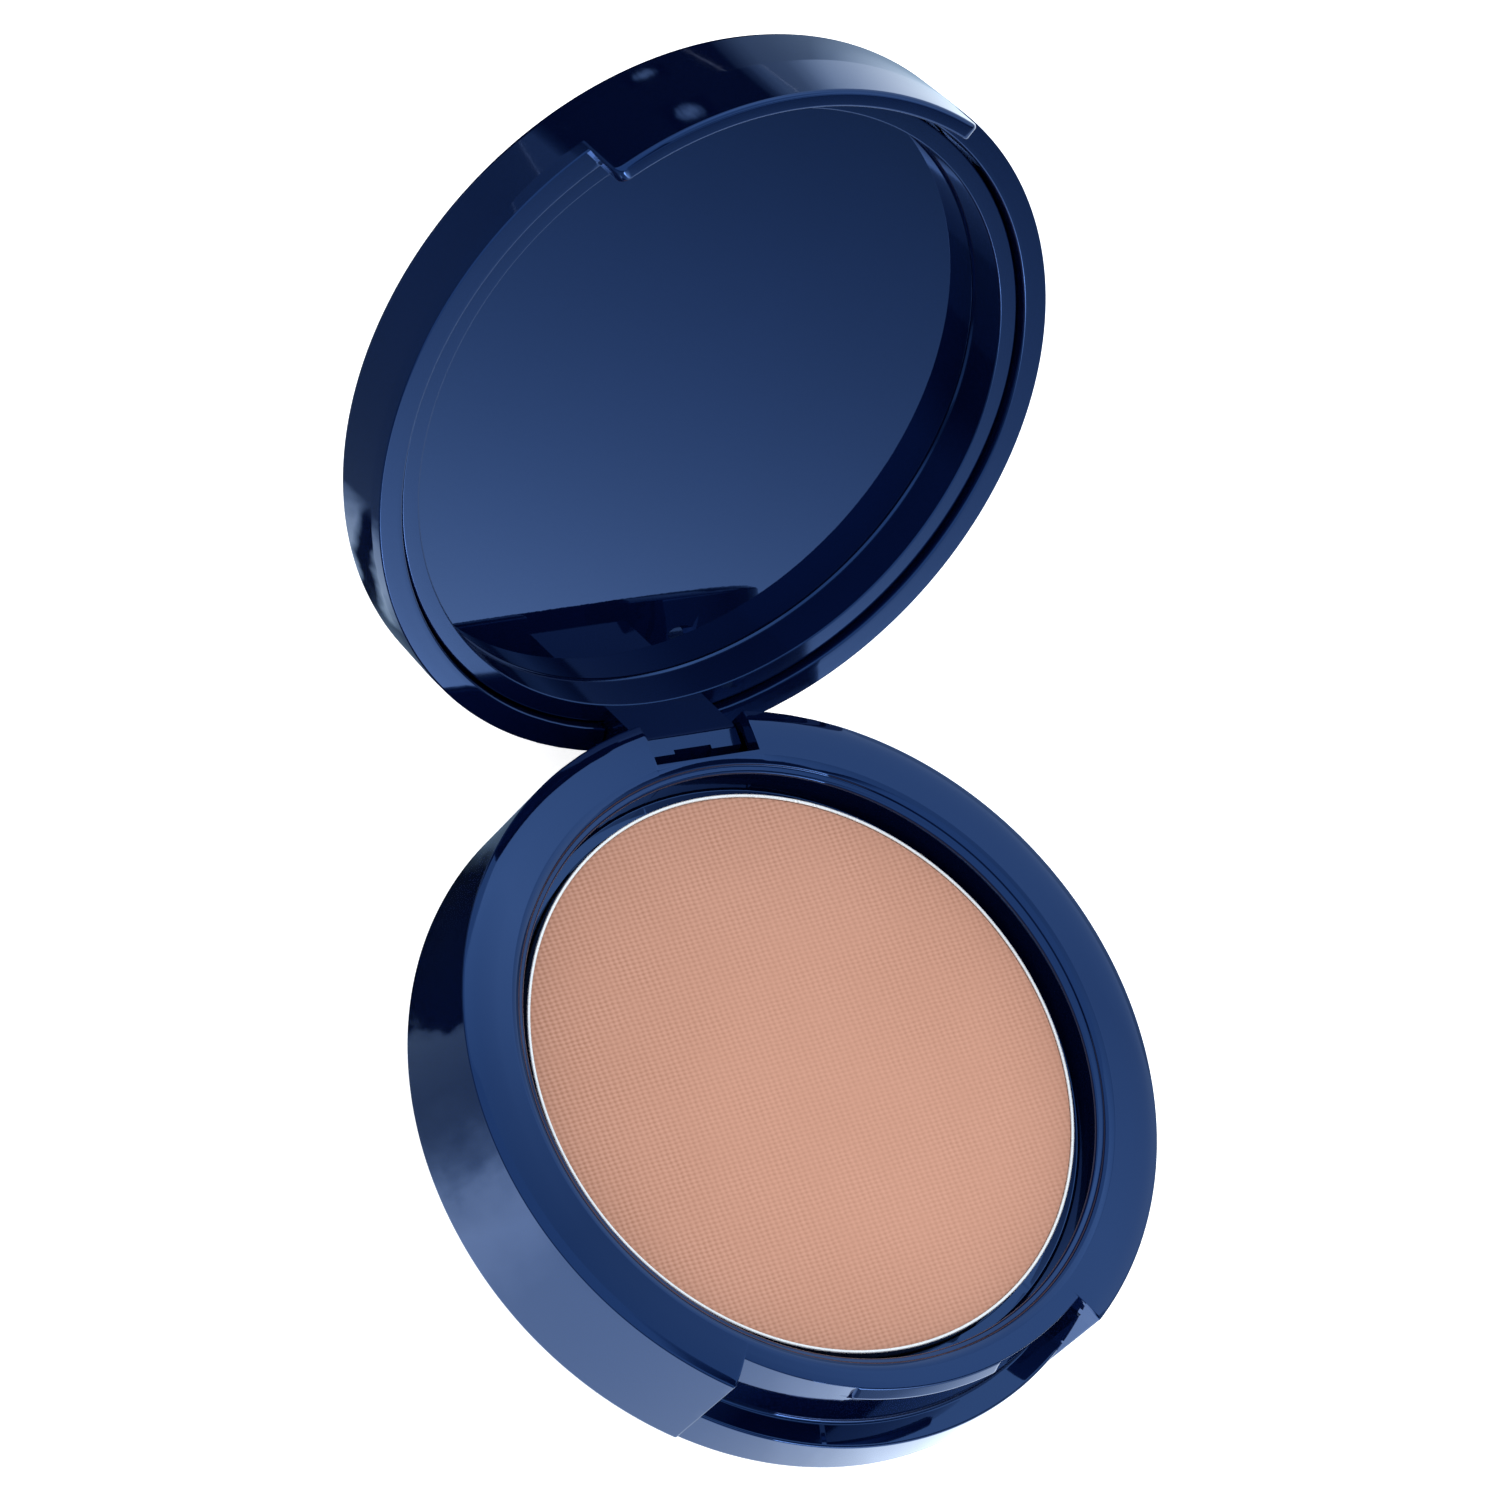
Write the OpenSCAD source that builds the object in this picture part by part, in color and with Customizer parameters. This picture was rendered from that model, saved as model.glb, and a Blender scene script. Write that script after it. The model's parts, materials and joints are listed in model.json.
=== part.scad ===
// Round powder compact, lid open on its stop.
// Millimetres. +Z is up, the origin is the centre of the flat underside, the hinge is at +Y
// and the finger notch is at -Y. The lid is drawn closed and then turned open about its pin.

/* [Case] */
// Outer diameter of the case where lid and base meet
case_d = 75.5; // [75:0.25:76.5]
// Height of the base, from the underside to the deck
base_h = 14.1; // [13.9:0.1:15]
// Height of the lid, from its rim to its back
lid_h = 8.3; // [8.1:0.1:9]
// Gap between the deck and the rim of the closed lid
lid_gap = 0.3; // [0.25:0.05:0.4]

/* [Pan] */
// Outer diameter of the powder pan
pan_d = 59.5; // [58.5:0.25:59.75]
// Height of the pan
pan_h = 4.2; // [3.8:0.1:4.3]
// Depth of the pan's rim below the deck
pan_drop = 2.9; // [2.6:0.1:3]

/* [Notch and latch] */
// Angle that the finger notch spans
notch_angle = 68.3; // [62:0.1:70]
// Depth of the notch's ledge below the deck
ledge_drop = 8.6; // [8:0.1:9]
// Angle that the lid's front skirt spans
skirt_angle = 67; // [60:0.5:67]
// Depth of the skirt below the deck
skirt_drop = 4.65; // [4.4:0.05:5.5]

/* [Hinge] */
// Angle that the lid opens to
open_angle = 125; // [0:1:126]
// Distance of the pin's axis from the centre of the case
hinge_y = 35.45; // [35.4:0.05:35.5]
// Depth of the pin's axis below the deck
hinge_drop = 4.35; // [4.3:0.05:4.4]
// Diameter of the hinge pin
pin_d = 1.5; // [1.2:0.1:1.6]
// Width of the hinge slot in the base
slot_w = 12; // [11.8:0.1:12.4]
// Width of the lid's hinge block
block_w = 11.2; // [10.8:0.1:11.3]

/* [Mirror] */
// Diameter of the mirror
mirror_d = 67; // [66:0.25:67.25]
// Thickness of the mirror glass
mirror_t = 1.2; // [1:0.1:1.4]

/* [Hidden] */
$fn = 120;
eps = 0.01;

// Case walls
case_r = case_d / 2;
draft = 0.15; // the outer walls lean in this much over their height
wall_in_r = case_r - 1.65; // inner face of the base's outer wall
deck_t = 1.8;
deck_edge = 0.35; // rounding of the deck's outer edge
foot_edge = 0.5; // rounding round the underside
rib = 1.4; // thickness of the walls round the notch and the well

// Well for the pan
pan_r = pan_d / 2;
pan_wall = 0.35;
pan_corner = 0.8; // outer rounding at the pan's bottom
pan_z = base_h - pan_drop - pan_h;
glue_t = 0.2;
seat_r = pan_r + 0.12;
well_r = pan_r + 1.3;
well_floor_z = pan_z - glue_t;
seat_z = well_floor_z + 2.6; // bottom of the open gap round the pan
well_lip = [[1.45, 0], [0.8, 0.35], [0.65, 0.65], [0, 0.9]]; // out from the well's wall, down from the deck
floor_t = 1.2;

// Finger notch
notch_r = 34.6;
ledge_z = base_h - ledge_drop;
lip_inset = 0.28; // the wall under the ledge sits this far inside the case
bevel = 0.4;
catch_r = 35.3;
catch_angle = 27.2;
catch_top = base_h - 0.35;
catch_h = 2.2;

// Hinge
hinge_z = base_h - hinge_drop;
slot_y = 32.75;
slot_z = base_h - 8.8;
lug_w = 7;
pin_r = pin_d / 2;
pin_x = [-10.5, 12.3]; // blind end in the left lug, end just inside the right wall
bore_clearance = 0.05;

// Underside
cover_t = 1.2;
cover_r = wall_in_r - 0.1;
clip_h = 2.4;
clip_wall = 1.3;
clip_bead = 0.2;
clip_z = [2.1, 2.9];
label_r = 19;
label_t = 0.12;

// Lid, closed
rim_z = base_h + lid_gap;
lid_back_z = rim_z + lid_h;
lid_edge = 0.9; // rounding round the lid's back
crown = 0.25; // the back stands about this much higher round its centre
rim_r = case_r + 0.15;
rim_in_r = 35.3;
plate_t = 1.4;
plate_z = lid_back_z - plate_t;
tape_t = 0.15;
mirror_r = mirror_d / 2;
mirror_z = plate_z - tape_t - mirror_t;
rear_notch_w = 15;
rear_notch_h = 1.3;

// Mirror frame and hinge block
frame_z = rim_z + 0.8; // visible face of the frame, set back from the rim
frame_r = [33, 34.95];
glass_gap = 0.1;
block_top_z = rim_z + rear_notch_h - 0.15; // top of the block inside the rear notch
relief_w = 4.3;

// Skirt
skirt_in_r = 36.1;
skirt_z = base_h - skirt_drop;
skirt_corner = 1;
hook_r = 35.5;
hook_angle = 24;

// Points of an arc about c, from angle a0 to a1
function arc(c, r, a0, a1, n = 6) =
    [for (i = [0:n]) c + r * [cos(a0 + (a1 - a0) * i / n), sin(a0 + (a1 - a0) * i / n)]];

// Ring with a square section
module ring(r_in, r_out, z0, z1) {
    translate([0, 0, z0]) difference() {
        cylinder(r = r_out, h = z1 - z0);
        translate([0, 0, -eps]) cylinder(r = r_in, h = z1 - z0 + 2 * eps);
    }
}

// Turns a profile through an angle centred on the front (-Y)
module front_sector(angle) {
    rotate([0, 0, -90 - angle / 2]) rotate_extrude(angle = angle) children();
}

// Round bar along X
module bar_x(r, x0, x1, y, z) {
    translate([x0, y, z]) rotate([0, 90, 0]) cylinder(r = r, h = x1 - x0);
}

// Puts a part that is drawn in the closed lid's place into the open lid
module opened() {
    translate([0, hinge_y, hinge_z]) rotate([-open_angle, 0, 0])
        translate([0, -hinge_y, -hinge_z]) children();
}

// Outer wall, deck and well of the base as one turned profile
module base_body() {
    foot_r = case_r - draft;
    rotate_extrude() polygon(concat(
        [[0, 0]],
        arc([foot_r - foot_edge, foot_edge], foot_edge, -90, 0),
        arc([case_r - deck_edge, base_h - deck_edge], deck_edge, 0, 90),
        [for (p = well_lip) [well_r + p.x, base_h - p.y]],
        [[well_r, seat_z], [seat_r, seat_z], [seat_r, well_floor_z], [0, well_floor_z]]
    ));
}

// Hollow of the underside, round the well and below its floor
module base_hollow() {
    deck_under = base_h - deck_t;
    floor_under = well_floor_z - floor_t;
    rotate_extrude() polygon([
        [0, -1], [wall_in_r, -1], [wall_in_r, clip_z[0]],
        [wall_in_r + clip_bead, clip_z[0] + clip_bead],
        [wall_in_r + clip_bead, clip_z[1]], [wall_in_r, clip_z[1] + clip_bead],
        [wall_in_r, deck_under], [well_r + rib, deck_under], [well_r + rib, seat_z - rib],
        [seat_r + rib, seat_z - rib], [seat_r + rib, floor_under], [0, floor_under]
    ]);
}

// Rounded bead that the lid's hook snaps under
module catch_bead() {
    out = catch_r - notch_r;
    front_sector(catch_angle) translate([notch_r, catch_top - catch_h]) polygon([
        [-0.5, 0], [0, 0], [out * 0.65, catch_h * 0.15], [out, catch_h * 0.4],
        [out, catch_h * 0.65], [out * 0.65, catch_h * 0.88], [0, catch_h], [-0.5, catch_h]
    ]);
}

module notch_cut() {
    lip_r = case_r - draft - lip_inset;
    front_sector(notch_angle) polygon(concat(
        [[notch_r, base_h + 1]],
        arc([notch_r + bevel, ledge_z + bevel], bevel, 180, 270),
        [[lip_r - bevel, ledge_z], [lip_r, ledge_z - bevel], [lip_r, -1]],
        [[case_r + 1, -1], [case_r + 1, base_h + 1]]
    ));
}

// Solid sector that notch_cut leaves as the walls behind and below the notch
module notch_walls() {
    wall_angle = notch_angle + 4.6;
    from_r = well_r + 1;
    from_z = ledge_z - rib;
    front_sector(wall_angle) translate([from_r, from_z])
        square([wall_in_r + 0.3 - from_r, base_h - deck_t + 0.3 - from_z]);
}

// Solid lugs either side of the hinge slot, and the floor and front wall of the slot
module hinge_lugs() {
    from_z = slot_z - rib;
    intersection() {
        translate([-slot_w / 2 - lug_w, slot_y - 1.8, from_z])
            cube([slot_w + 2 * lug_w, 10, base_h - deck_t + 0.3 - from_z]);
        cylinder(r = wall_in_r + 0.3, h = base_h);
    }
}

module base_shell() {
    color("#22355f") difference() {
        union() {
            difference() {
                union() {
                    difference() {
                        base_body();
                        base_hollow();
                    }
                    notch_walls();
                    hinge_lugs();
                }
                notch_cut();
            }
            catch_bead();
        }
        translate([-slot_w / 2, slot_y, slot_z]) cube([slot_w, 10, base_h]);
        bar_x(pin_r, pin_x[0], case_r, hinge_y, hinge_z);
    }
}

// Plate with a clip ring that snaps into the outer wall
module bottom_cover() {
    ring_z = cover_t + clip_h;
    color("#1b2c52") difference() {
        rotate_extrude() polygon([
            [0, 0], [cover_r, 0], [cover_r, clip_z[0]],
            [cover_r + clip_bead, clip_z[0] + clip_bead],
            [cover_r + clip_bead, clip_z[1]], [cover_r, clip_z[1] + clip_bead],
            [cover_r, ring_z], [cover_r - clip_wall, ring_z],
            [cover_r - clip_wall, cover_t], [0, cover_t]
        ]);
        translate([0, 0, -eps]) cylinder(r = label_r + 0.2, h = label_t + eps);
    }
}

module bottom_label() {
    color("#e8e6df") cylinder(r = label_r, h = label_t);
}

module pan_glue() {
    color("#d8cfa8") translate([0, 0, well_floor_z]) cylinder(r = 8, h = glue_t);
}

// Pressed metal cup with a rounded bottom edge
module pan() {
    color("#cfd2d6") translate([0, 0, pan_z]) rotate_extrude() polygon(concat(
        [[0, 0]],
        arc([pan_r - pan_corner, pan_corner], pan_corner, -90, 0),
        [[pan_r, pan_h - 0.1], [pan_r - 0.1, pan_h], [pan_r - pan_wall + 0.1, pan_h]],
        [[pan_r - pan_wall, pan_h - 0.1]],
        arc([pan_r - pan_corner, pan_corner], pan_corner - pan_wall, 0, -90),
        [[0, pan_wall]]
    ));
}

// Cake pressed into the pan, its face just under the pan's rim
module powder() {
    cake_r = pan_r - pan_wall;
    cake_top = pan_h - 0.12;
    color("#d9a78e") translate([0, 0, pan_z]) rotate_extrude() polygon(concat(
        [[0, pan_wall]],
        arc([pan_r - pan_corner, pan_corner], pan_corner - pan_wall, -90, 0),
        [[cake_r, cake_top - 0.1], [cake_r - 0.15, cake_top], [0, cake_top]]
    ));
}

module hinge_pin() {
    color("#b9bcc2") bar_x(pin_r, pin_x[0], pin_x[1], hinge_y, hinge_z);
}

// Back, side wall and rim of the lid
module lid_cup() {
    back_r = rim_r - draft * 2;
    crown_r = back_r - lid_edge;
    rotate_extrude() polygon(concat(
        [[rim_in_r, plate_z], [rim_in_r, rim_z + 0.15], [rim_in_r + 0.15, rim_z]],
        arc([rim_r - 0.2, rim_z + 0.2], 0.2, -90, 0, 3),
        arc([crown_r, lid_back_z - lid_edge], lid_edge, 0, 90),
        [for (i = [5:-1:1]) [crown_r * i / 6, lid_back_z + crown * (1 - pow(i / 6, 2))]],
        [[0, lid_back_z + crown * (1 - pow(1 / 6, 2))], [0, plate_z]]
    ));
}

// Skirt with round lower corners, and the hook that snaps under the catch bead
module skirt() {
    out_r = rim_r - 0.05;
    corner_angle = skirt_corner / case_r * 180 / PI;
    difference() {
        front_sector(skirt_angle) polygon([
            [skirt_in_r, skirt_z], [out_r - 0.25, skirt_z], [out_r, skirt_z + 0.25],
            [out_r, rim_z + 0.5], [skirt_in_r, rim_z + 0.5]
        ]);
        for (s = [-1, 1])
            rotate([0, 0, s * (skirt_angle / 2 - corner_angle)])
                translate([0, 0, skirt_z + skirt_corner]) rotate([90, 0, 0]) difference() {
                    translate([s > 0 ? 0 : -2, -2, 30]) cube([2, 2, 10]);
                    cylinder(r = skirt_corner, h = 50);
                }
    }
    front_sector(hook_angle) translate([0, skirt_z]) polygon([
        [skirt_in_r + 0.4, 0.3], [skirt_in_r, 0.3], [hook_r, 0.7],
        [hook_r, 1.1], [skirt_in_r, 1.4], [skirt_in_r + 0.4, 1.4]
    ]);
}

module lid_shell() {
    color("#22355f") opened() {
        difference() {
            lid_cup();
            translate([-rear_notch_w / 2, 33, rim_z - 1])
                cube([rear_notch_w, 10, rear_notch_h + 1]);
        }
        skirt();
    }
}

// Side view of the hinge block: y and z of its corners, in the closed lid's place
function block_section() = [
    [33.1, frame_z + 2], [33.1, hinge_z - 0.2], [33.35, hinge_z - 0.8],
    [34.3, hinge_z - 2.15], [36.4, hinge_z - 2.15], [37.6, hinge_z - 0.7],
    [37.6, block_top_z], [34.6, block_top_z], [34.6, frame_z + 2]
];

module hinge_block() {
    difference() {
        intersection() {
            translate([-block_w / 2, 0, 0]) rotate([90, 0, 90])
                linear_extrude(block_w) polygon(block_section());
            cylinder(r = case_r - 0.1, h = frame_z + 2);
        }
        // only the part inside the frame's ring may stand above the rear notch
        ring(frame_r[1], case_r + 1, block_top_z, block_top_z + 5);
        // shallow recess in the block's lower face
        translate([-relief_w / 2, 30, hinge_z - 4]) cube([relief_w, 10, 4 - 1.8]);
    }
}

// Ring that holds the mirror, with the hinge block in one piece with it
module lid_frame() {
    lap_z = mirror_z - glass_gap;
    color("#1e3059") opened() difference() {
        union() {
            rotate_extrude() polygon([
                [frame_r[0] - 0.2, lap_z], [frame_r[0], frame_z + 0.15],
                [frame_r[0] + 0.15, frame_z], [frame_r[1] - 0.15, frame_z],
                [frame_r[1], frame_z + 0.15], [frame_r[1], plate_z],
                [mirror_r + 0.25, plate_z], [mirror_r + 0.25, lap_z]
            ]);
            hinge_block();
        }
        bar_x(pin_r + bore_clearance, -block_w, block_w, hinge_y, hinge_z);
    }
}

module mirror_adhesive() {
    color("#4a4d55") opened() translate([0, 0, plate_z - tape_t])
        cylinder(r = mirror_r - 1.5, h = tape_t);
}

// Silvered glass with a fine ground edge
module mirror() {
    grind = 0.2;
    color("#8fa3c8") opened() translate([0, 0, mirror_z]) rotate_extrude() polygon([
        [0, 0], [mirror_r - grind, 0], [mirror_r, grind], [mirror_r, mirror_t], [0, mirror_t]
    ]);
}

base_shell();
bottom_cover();
bottom_label();
pan_glue();
pan();
powder();
hinge_pin();
lid_shell();
lid_frame();
mirror_adhesive();
mirror();
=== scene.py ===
"""Powder compact: looks, floor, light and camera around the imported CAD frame."""

import json
import math

import bmesh
import bpy
from mathutils import Matrix, Vector


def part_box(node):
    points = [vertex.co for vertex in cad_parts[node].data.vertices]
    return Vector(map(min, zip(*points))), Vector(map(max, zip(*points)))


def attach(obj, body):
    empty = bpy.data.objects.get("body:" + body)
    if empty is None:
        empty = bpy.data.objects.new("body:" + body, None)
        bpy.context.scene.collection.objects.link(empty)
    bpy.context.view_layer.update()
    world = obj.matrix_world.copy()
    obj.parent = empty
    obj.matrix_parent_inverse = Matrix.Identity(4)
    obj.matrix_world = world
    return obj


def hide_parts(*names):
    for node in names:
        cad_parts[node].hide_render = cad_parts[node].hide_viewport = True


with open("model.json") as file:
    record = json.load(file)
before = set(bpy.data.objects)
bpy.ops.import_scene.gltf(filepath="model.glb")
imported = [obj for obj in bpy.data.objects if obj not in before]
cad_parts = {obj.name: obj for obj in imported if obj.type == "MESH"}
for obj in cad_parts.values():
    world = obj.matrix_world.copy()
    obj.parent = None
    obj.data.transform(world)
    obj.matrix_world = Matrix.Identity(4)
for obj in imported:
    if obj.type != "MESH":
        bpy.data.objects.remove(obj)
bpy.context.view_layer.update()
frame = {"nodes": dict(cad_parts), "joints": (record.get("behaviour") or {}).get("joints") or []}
MM = 0.001
TURN = 2 * math.pi
NODES = frame["nodes"]
JOINT = frame["joints"][0]


# ---------------------------------------------------------------- materials
def new_material(name):
    mat = bpy.data.materials.new(name)
    mat.use_nodes = True
    tree = mat.node_tree
    return mat, tree, tree.nodes["Principled BSDF"]


def noise(tree, scale, detail=4.0, rough=0.5, distortion=0.0):
    coord = tree.nodes.new("ShaderNodeTexCoord")
    tex = tree.nodes.new("ShaderNodeTexNoise")
    tex.inputs["Scale"].default_value = scale
    tex.inputs["Detail"].default_value = detail
    tex.inputs["Roughness"].default_value = rough
    tex.inputs["Distortion"].default_value = distortion
    tree.links.new(coord.outputs["Object"], tex.inputs["Vector"])
    return tex.outputs["Fac"]


def math_node(tree, operation, *values):
    node = tree.nodes.new("ShaderNodeMath")
    node.operation = operation
    for socket, value in zip(node.inputs, values):
        if isinstance(value, (int, float)):
            socket.default_value = value
        else:
            tree.links.new(value, socket)
    return node.outputs["Value"]


def ramp(tree, factor, stops):
    node = tree.nodes.new("ShaderNodeValToRGB")
    node.color_ramp.elements[0].position = stops[0][0]
    node.color_ramp.elements[0].color = (*stops[0][1], 1)
    node.color_ramp.elements[1].position = stops[-1][0]
    node.color_ramp.elements[1].color = (*stops[-1][1], 1)
    for position, colour in stops[1:-1]:
        node.color_ramp.elements.new(position).color = (*colour, 1)
    tree.links.new(factor, node.inputs["Fac"])
    return node.outputs["Color"]


def levels(tree, value, stops):
    """Piecewise smooth curve of brightness over value: stops are (value, brightness)."""
    low, high = stops[0][0], stops[-1][0]
    top = max(b for _, b in stops)
    share = math_node(tree, "DIVIDE", math_node(tree, "SUBTRACT", value, low), high - low)
    greys = ramp(tree, share, [((v - low) / (high - low), (b / top,) * 3) for v, b in stops])
    return math_node(tree, "MULTIPLY", greys, top)


def map_range(tree, value, low, high):
    node = tree.nodes.new("ShaderNodeMapRange")
    node.inputs["To Min"].default_value = low
    node.inputs["To Max"].default_value = high
    tree.links.new(value, node.inputs["Value"])
    return node.outputs["Result"]


def bump(tree, height, distance, strength=1.0, normal=None):
    node = tree.nodes.new("ShaderNodeBump")
    node.inputs["Distance"].default_value = distance
    node.inputs["Strength"].default_value = strength
    tree.links.new(height, node.inputs["Height"])
    if normal:
        tree.links.new(normal, node.inputs["Normal"])
    return node.outputs["Normal"]


def gloss_plastic(name, dark, light, low_rough, high_rough, tint, ior=1.8, level=0.7, wave=0.004):
    """Polished navy moulding: faint flow marks in the colour, haze patches and a slight waviness."""
    mat, tree, shader = new_material(name)
    flow = noise(tree, 45, 3, 0.55, 0.4)
    tree.links.new(ramp(tree, flow, [(0.3, dark), (0.7, light)]), shader.inputs["Base Color"])
    haze = noise(tree, 130, 5, 0.6)
    tree.links.new(map_range(tree, haze, low_rough, high_rough), shader.inputs["Roughness"])
    soft = bump(tree, noise(tree, 60, 2, 0.4), wave * MM)
    fine = bump(tree, noise(tree, 1800, 2, 0.5), 0.0006 * MM, 1.0, soft)
    tree.links.new(fine, shader.inputs["Normal"])
    shader.inputs["IOR"].default_value = ior
    shader.inputs["Specular IOR Level"].default_value = level
    shader.inputs["Specular Tint"].default_value = (*tint, 1)
    return mat


NAVY_DARK = (0.0004, 0.0015, 0.0115)
NAVY_LIGHT = (0.0006, 0.0021, 0.0150)
BLUE_GLOSS = (0.20, 0.41, 1.0)
shell_mat = gloss_plastic("navy_gloss", NAVY_DARK, NAVY_LIGHT, 0.03, 0.06, BLUE_GLOSS)
frame_mat = gloss_plastic("navy_gloss_inner", NAVY_DARK, NAVY_LIGHT, 0.06, 0.12, BLUE_GLOSS)
cover_mat = gloss_plastic("navy_satin", NAVY_DARK, NAVY_LIGHT, 0.32, 0.42, BLUE_GLOSS)
mirror_mat = gloss_plastic("navy_mirror", NAVY_DARK, NAVY_LIGHT, 0.01, 0.02, BLUE_GLOSS, wave=0.001)


WARP, WEFT = 0.665, 0.433  # pitch of the embossed threads along X and Y, in mm
LEAN = math.radians(3.0), math.radians(4.7)  # how far each set of threads is turned
STRAY = 0.28  # how far the coloured threads wander, in mm
PAINTED_LIGHT_SPOT = (0.006, -0.003, 0.011)  # centre of the painted light on the cake: palest there, with the weakest painted groove shade, in metres
# The first of these three colours is the powder darkened as painted shade in the grooves of the weave; the
# other two are the flat and the threads
GROOVE_SHADE, LEVEL, THREAD = (0.335, 0.162, 0.102), (0.472, 0.246, 0.175), (0.575, 0.318, 0.242)


def powder_material():
    """Pressed powder: patches, speckle, and a weave coloured with painted shade in the grooves between the
    threads, under painted light that is brightest at one spot and dims towards the rim.
    """
    mat, tree, shader = new_material("pressed_powder")
    part = tree.nodes.new("ShaderNodeSeparateXYZ")
    tree.links.new(tree.nodes.new("ShaderNodeTexCoord").outputs["Object"], part.inputs["Vector"])
    x, y = part.outputs["X"], part.outputs["Y"]

    def threads(p, q, lean, pitch):
        along = math_node(tree, "MULTIPLY", p, math.cos(lean))
        aside = math_node(tree, "MULTIPLY", q, math.sin(lean))
        across = math_node(tree, "ADD", along, aside)
        return math_node(tree, "COSINE", math_node(tree, "MULTIPLY", across, TURN / (pitch * MM)))

    def strayed(value, scale):
        stray = math_node(tree, "SUBTRACT", noise(tree, scale, 2, 0.5), 0.5)
        return math_node(tree, "ADD", value, math_node(tree, "MULTIPLY", stray, STRAY * MM))

    x, y = strayed(x, 520), strayed(y, 610)
    minus_x = math_node(tree, "MULTIPLY", x, -1.0)
    cloth = math_node(tree, "ADD", threads(x, y, LEAN[0], WARP), threads(y, minus_x, LEAN[1], WEFT))
    from_light_spot = tree.nodes.new("ShaderNodeVectorMath")
    from_light_spot.operation = "DISTANCE"
    tree.links.new(tree.nodes.new("ShaderNodeTexCoord").outputs["Object"], from_light_spot.inputs[0])
    from_light_spot.inputs[1].default_value = PAINTED_LIGHT_SPOT
    out = from_light_spot.outputs["Value"]
    depth = math_node(
        tree, "MULTIPLY", levels(tree, out, [(0, 0.045), (0.02, 0.065), (0.036, 0.11)]),
        map_range(tree, noise(tree, 260, 4, 0.65), 0.2, 1.9))
    # Painted shade: the grooves between the threads are coloured darker, more so away from the light spot and
    # in patches
    painted_weave_shade = math_node(tree, "MULTIPLY", cloth, depth)
    speckle = math_node(tree, "ADD", painted_weave_shade, map_range(tree, noise(tree, 5200, 3, 0.7), -0.09, 0.09))
    patch = math_node(tree, "ADD", speckle, map_range(tree, noise(tree, 40, 3, 0.5), 0.42, 0.58))
    colour = ramp(tree, patch, [(0.2, GROOVE_SHADE), (0.5, LEVEL), (0.8, THREAD)])
    shade = tree.nodes.new("ShaderNodeVectorMath")
    shade.operation = "SCALE"
    tree.links.new(colour, shade.inputs[0])
    # Painted light: the cake is coloured darker with distance from the light spot, as if lit from there
    fade = levels(tree, out, [(0, 1.0), (0.015, 0.99), (0.027, 0.93), (0.036, 0.87)])
    tree.links.new(fade, shade.inputs["Scale"])
    tree.links.new(shade.outputs["Vector"], shader.inputs["Base Color"])
    shader.inputs["Roughness"].default_value = 0.75
    shader.inputs["Specular IOR Level"].default_value = 0.2
    grain = bump(tree, noise(tree, 9000, 3, 0.6), 0.02 * MM)
    tree.links.new(grain, shader.inputs["Normal"])
    return mat


powder_mat = powder_material()


def metal_material(name, colour, low_rough, high_rough, metallic=1.0, shade_below=None):
    """Streaky metal; below the given height (in metres) it is painted nearly black, as painted shade in the
    narrow gap round the pan.
    """
    mat, tree, shader = new_material(name)
    streak = noise(tree, 900, 4, 0.6)
    tone = ramp(tree, streak, [(0.3, tuple(c * 0.9 for c in colour)), (0.7, colour)])
    if shade_below:
        part = tree.nodes.new("ShaderNodeSeparateXYZ")
        tree.links.new(tree.nodes.new("ShaderNodeTexCoord").outputs["Object"], part.inputs["Vector"])
        # Painted shade: the pan's outer side below that height, down in the gap, is coloured nearly black
        gap_shade = levels(tree, part.outputs["Z"], [
            (0, 0.008), (shade_below - 0.02 * MM, 0.012), (shade_below + 0.02 * MM, 1), (shade_below + MM, 1)])
        shade = tree.nodes.new("ShaderNodeVectorMath")
        shade.operation = "SCALE"
        tree.links.new(tone, shade.inputs[0])
        tree.links.new(gap_shade, shade.inputs["Scale"])
        tone = shade.outputs["Vector"]
    tree.links.new(tone, shader.inputs["Base Color"])
    tree.links.new(map_range(tree, streak, low_rough, high_rough), shader.inputs["Roughness"])
    shader.inputs["Metallic"].default_value = metallic
    return mat


PAN_Z, PAN_H = 7.0, 4.2
PAN_TOP = PAN_Z + PAN_H
# The pan's outer side is painted nearly black as shade in the gap round it
pan_mat = metal_material("pan_metal", (0.93, 0.92, 0.90), 0.2, 0.35, 0.55, shade_below=(PAN_TOP - 0.16) * MM)
pin_mat = metal_material("pin_steel", (0.6, 0.6, 0.62), 0.25, 0.35)


def matt_material(name, low, high, scale, rough, depth):
    """Dull material with speckled colour and a fine grain, for paper, glue and foam."""
    mat, tree, shader = new_material(name)
    speck = noise(tree, scale, 4, 0.6)
    tree.links.new(ramp(tree, speck, [(0.3, low), (0.7, high)]), shader.inputs["Base Color"])
    tree.links.new(map_range(tree, speck, rough - 0.06, rough + 0.06), shader.inputs["Roughness"])
    tree.links.new(bump(tree, speck, depth * MM), shader.inputs["Normal"])
    return mat


label_mat = matt_material("label_paper", (0.70, 0.69, 0.65), (0.78, 0.77, 0.74), 900, 0.8, 0.01)
glue_mat = matt_material("hot_melt", (0.60, 0.55, 0.38), (0.72, 0.67, 0.48), 120, 0.45, 0.05)
tape_mat = matt_material("tape_foam", (0.05, 0.05, 0.055), (0.09, 0.09, 0.1), 2500, 0.9, 0.03)


# ---------------------------------------------------------------- mesh tools
ROUND = 5  # steps in a rounded corner


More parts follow.
